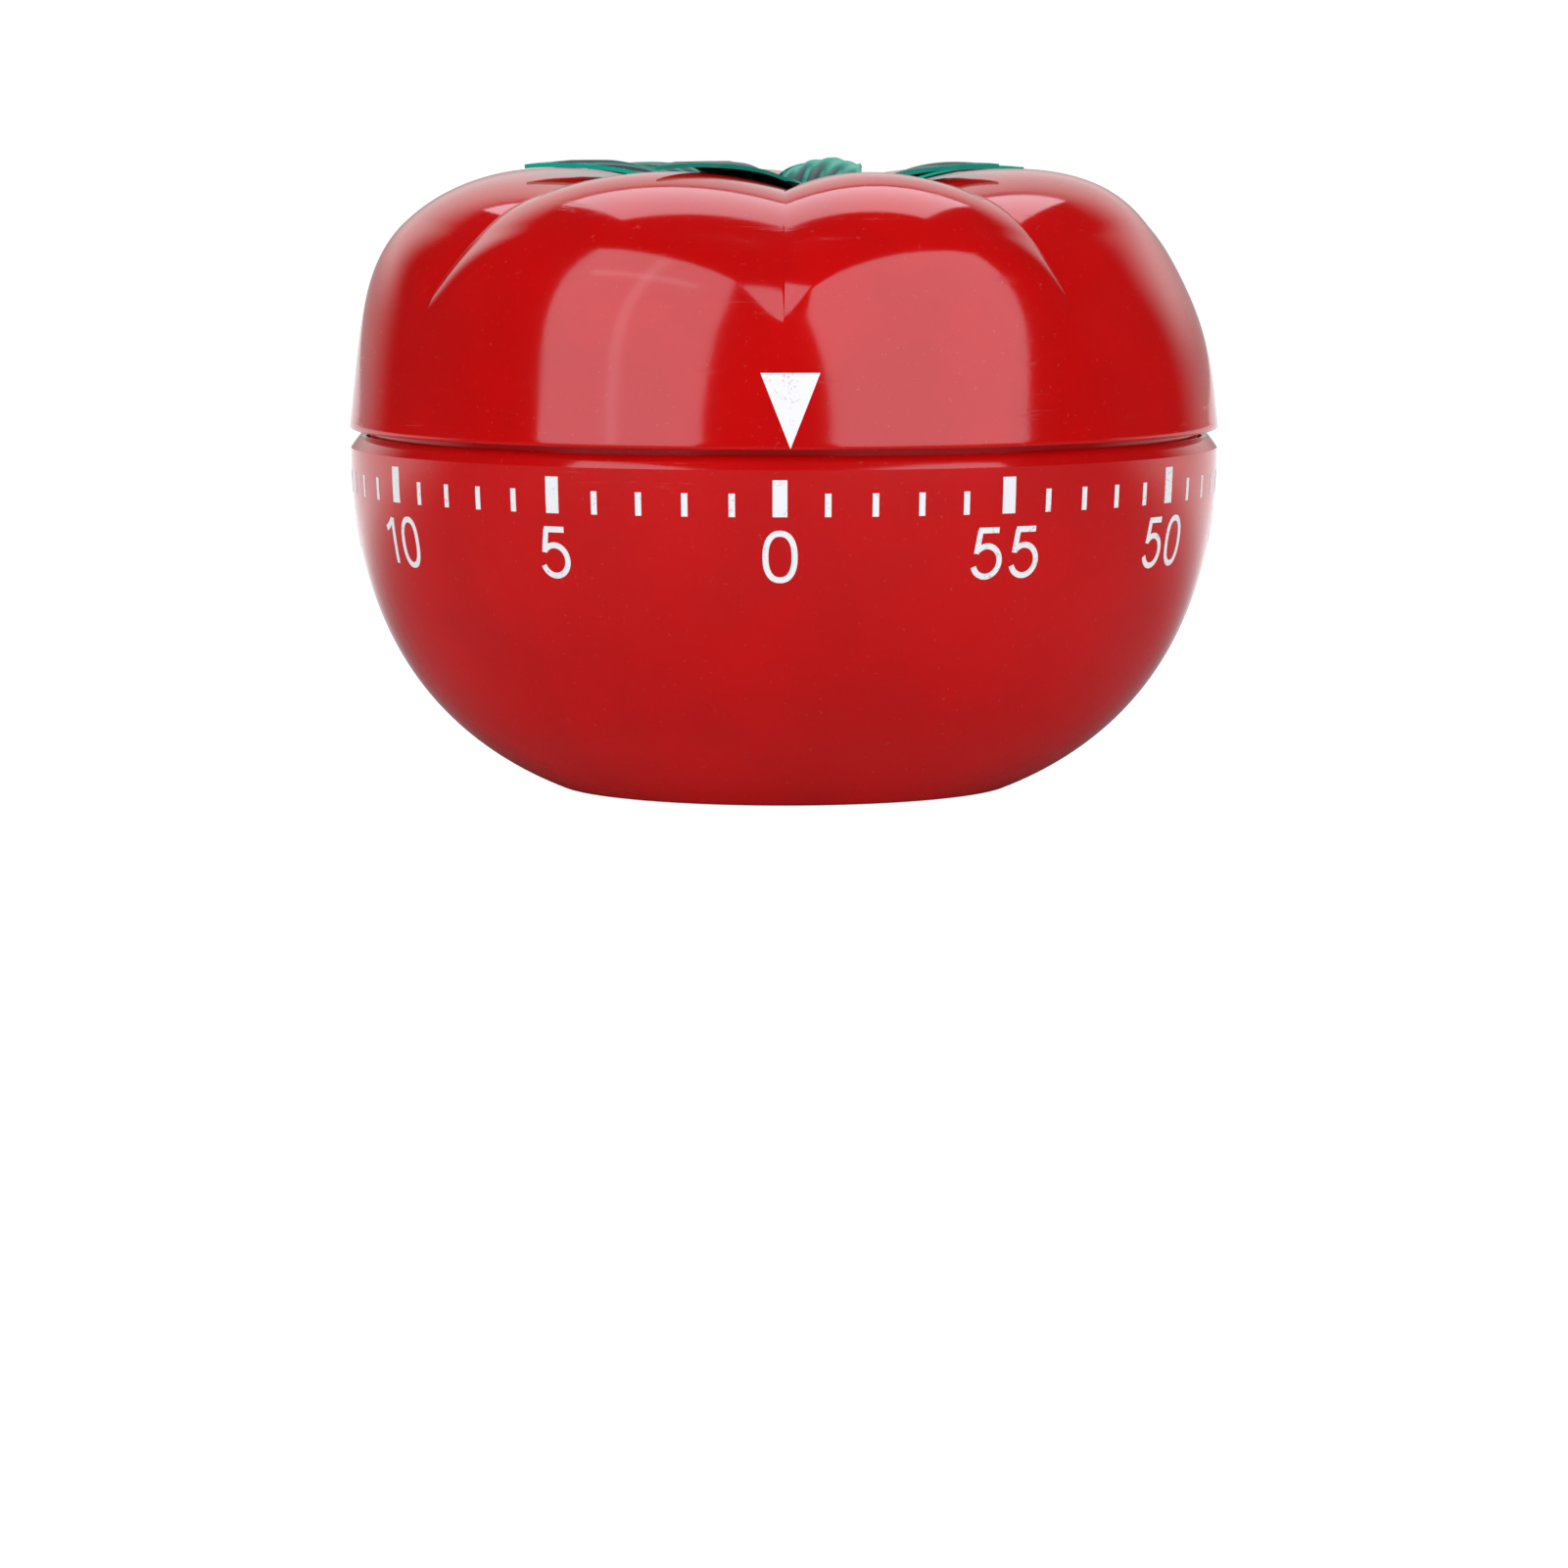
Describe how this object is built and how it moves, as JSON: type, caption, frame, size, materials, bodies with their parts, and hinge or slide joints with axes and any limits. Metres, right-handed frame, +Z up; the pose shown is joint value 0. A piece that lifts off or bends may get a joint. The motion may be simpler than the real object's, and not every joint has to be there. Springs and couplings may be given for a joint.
{
  "type": "kitchen timer",
  "caption": "Round tomato-shaped mechanical kitchen timer: the top half turns on a numbered lower half to set the time.",
  "frame": {"origin": "middle of the flat base that the timer stands on", "axes": "+Z up along the axis that the top turns on, zero of the dial towards -Y, +X to the right seen from the front"},
  "size_m": [0.075, 0.075, 0.0538],
  "materials": {
    "red_plastic": "glossy tomato red moulding",
    "dark_red_plastic": "glossy deep red moulding",
    "leaf_plastic": "satin dark green ribbed moulding",
    "stem_plastic": "satin near-black moulding",
    "zinc_steel": "zinc-plated turned steel",
    "bell_steel": "bright nickel-plated pressed steel",
    "frame_steel": "stamped steel sheet",
    "brass": "stamped brass",
    "spring_steel": "blued spring steel"
  },
  "bodies": {
    "base": {"lower_shell": "red_plastic", "collar_band": "dark_red_plastic", "case_screw": "zinc_steel", "bell": "bell_steel", "centre_post": "zinc_steel", "lower_plate": "frame_steel", "upper_plate": "frame_steel", "pillar_1": "zinc_steel", "pillar_2": "zinc_steel", "pillar_3": "zinc_steel", "pillar_nut_1": "brass", "pillar_nut_2": "brass", "pillar_nut_3": "brass", "stop_post": "zinc_steel", "spring_post": "zinc_steel", "hairspring_stud": "brass", "release_pin": "zinc_steel", "mainspring": "spring_steel", "hairspring": "spring_steel"},
    "top": {"upper_shell": "red_plastic", "calyx": "leaf_plastic", "stem_plug": "stem_plastic", "main_arbor": "zinc_steel", "ratchet_wheel": "zinc_steel", "alarm_cam": "brass", "stop_arm": "frame_steel"},
    "great": {"great_wheel": "brass", "click_pin": "zinc_steel"},
    "pawl": {"click": "spring_steel"},
    "second": {"second_pinion": "zinc_steel", "second_wheel": "brass"},
    "third": {"third_pinion": "zinc_steel", "third_wheel": "brass"},
    "escape": {"escape_pinion": "zinc_steel", "escape_wheel": "brass"},
    "pallet": {"pallet_arbor": "zinc_steel", "pallet_lever": "frame_steel"},
    "balance": {"balance_staff": "zinc_steel", "balance_wheel": "brass"},
    "striker": {"hammer": "zinc_steel", "hammer_arbor": "zinc_steel", "hammer_tail": "frame_steel"},
    "release": {"release_lever": "frame_steel"}
  },
  "joints": [
    {"name": "top_turn", "type": "hinge", "parent": "base", "child": "top", "pos_m": [0, 0, 0.03], "axis": [0, 0, -1], "range_deg": [0, 350]},
    {"name": "great_turn", "type": "hinge", "parent": "base", "child": "great", "pos_m": [0, 0, 0.0255], "axis": [0, 0, -1], "range_deg": [0, 350]},
    {"name": "click_lift", "type": "hinge", "parent": "great", "child": "pawl", "pos_m": [0.0092, 0, 0.0243], "axis": [0, 0, -1], "range_deg": [0, 8]},
    {"name": "second_turn", "type": "hinge", "parent": "base", "child": "second", "pos_m": [-0.01455, 0.0084, 0.0218], "axis": [0, 0, -1], "continuous": true},
    {"name": "third_turn", "type": "hinge", "parent": "base", "child": "third", "pos_m": [-0.00895, 0.0181, 0.0218], "axis": [0, 0, -1], "continuous": true},
    {"name": "escape_turn", "type": "hinge", "parent": "base", "child": "escape", "pos_m": [0.00085, 0.0181, 0.0218], "axis": [0, 0, -1], "continuous": true},
    {"name": "pallet_rock", "type": "hinge", "parent": "base", "child": "pallet", "pos_m": [0.00725, 0.0158, 0.0218], "axis": [0, 0, 1], "range_deg": [-3, 3]},
    {"name": "balance_swing", "type": "hinge", "parent": "base", "child": "balance", "pos_m": [0.0135, 0.0105, 0.0218], "axis": [0, 0, 1], "range_deg": [-140, 140], "stiffness_Nm_per_rad": 0.000002},
    {"name": "hammer_swing", "type": "hinge", "parent": "base", "child": "striker", "pos_m": [0, -0.018, 0.0218], "axis": [0, 0, 1], "range_deg": [0, 12]},
    {"name": "release_swing", "type": "hinge", "parent": "base", "child": "release", "pos_m": [0.0116, -0.0072, 0.029], "axis": [0, 0, 1], "range_deg": [-4, 4]}
  ],
  "couplings": [
    {"joint": "great_turn", "follows": "top_turn", "ratio": 1},
    {"joint": "second_turn", "follows": "top_turn", "ratio": -6},
    {"joint": "third_turn", "follows": "top_turn", "ratio": 36},
    {"joint": "escape_turn", "follows": "top_turn", "ratio": -216}
  ]
}
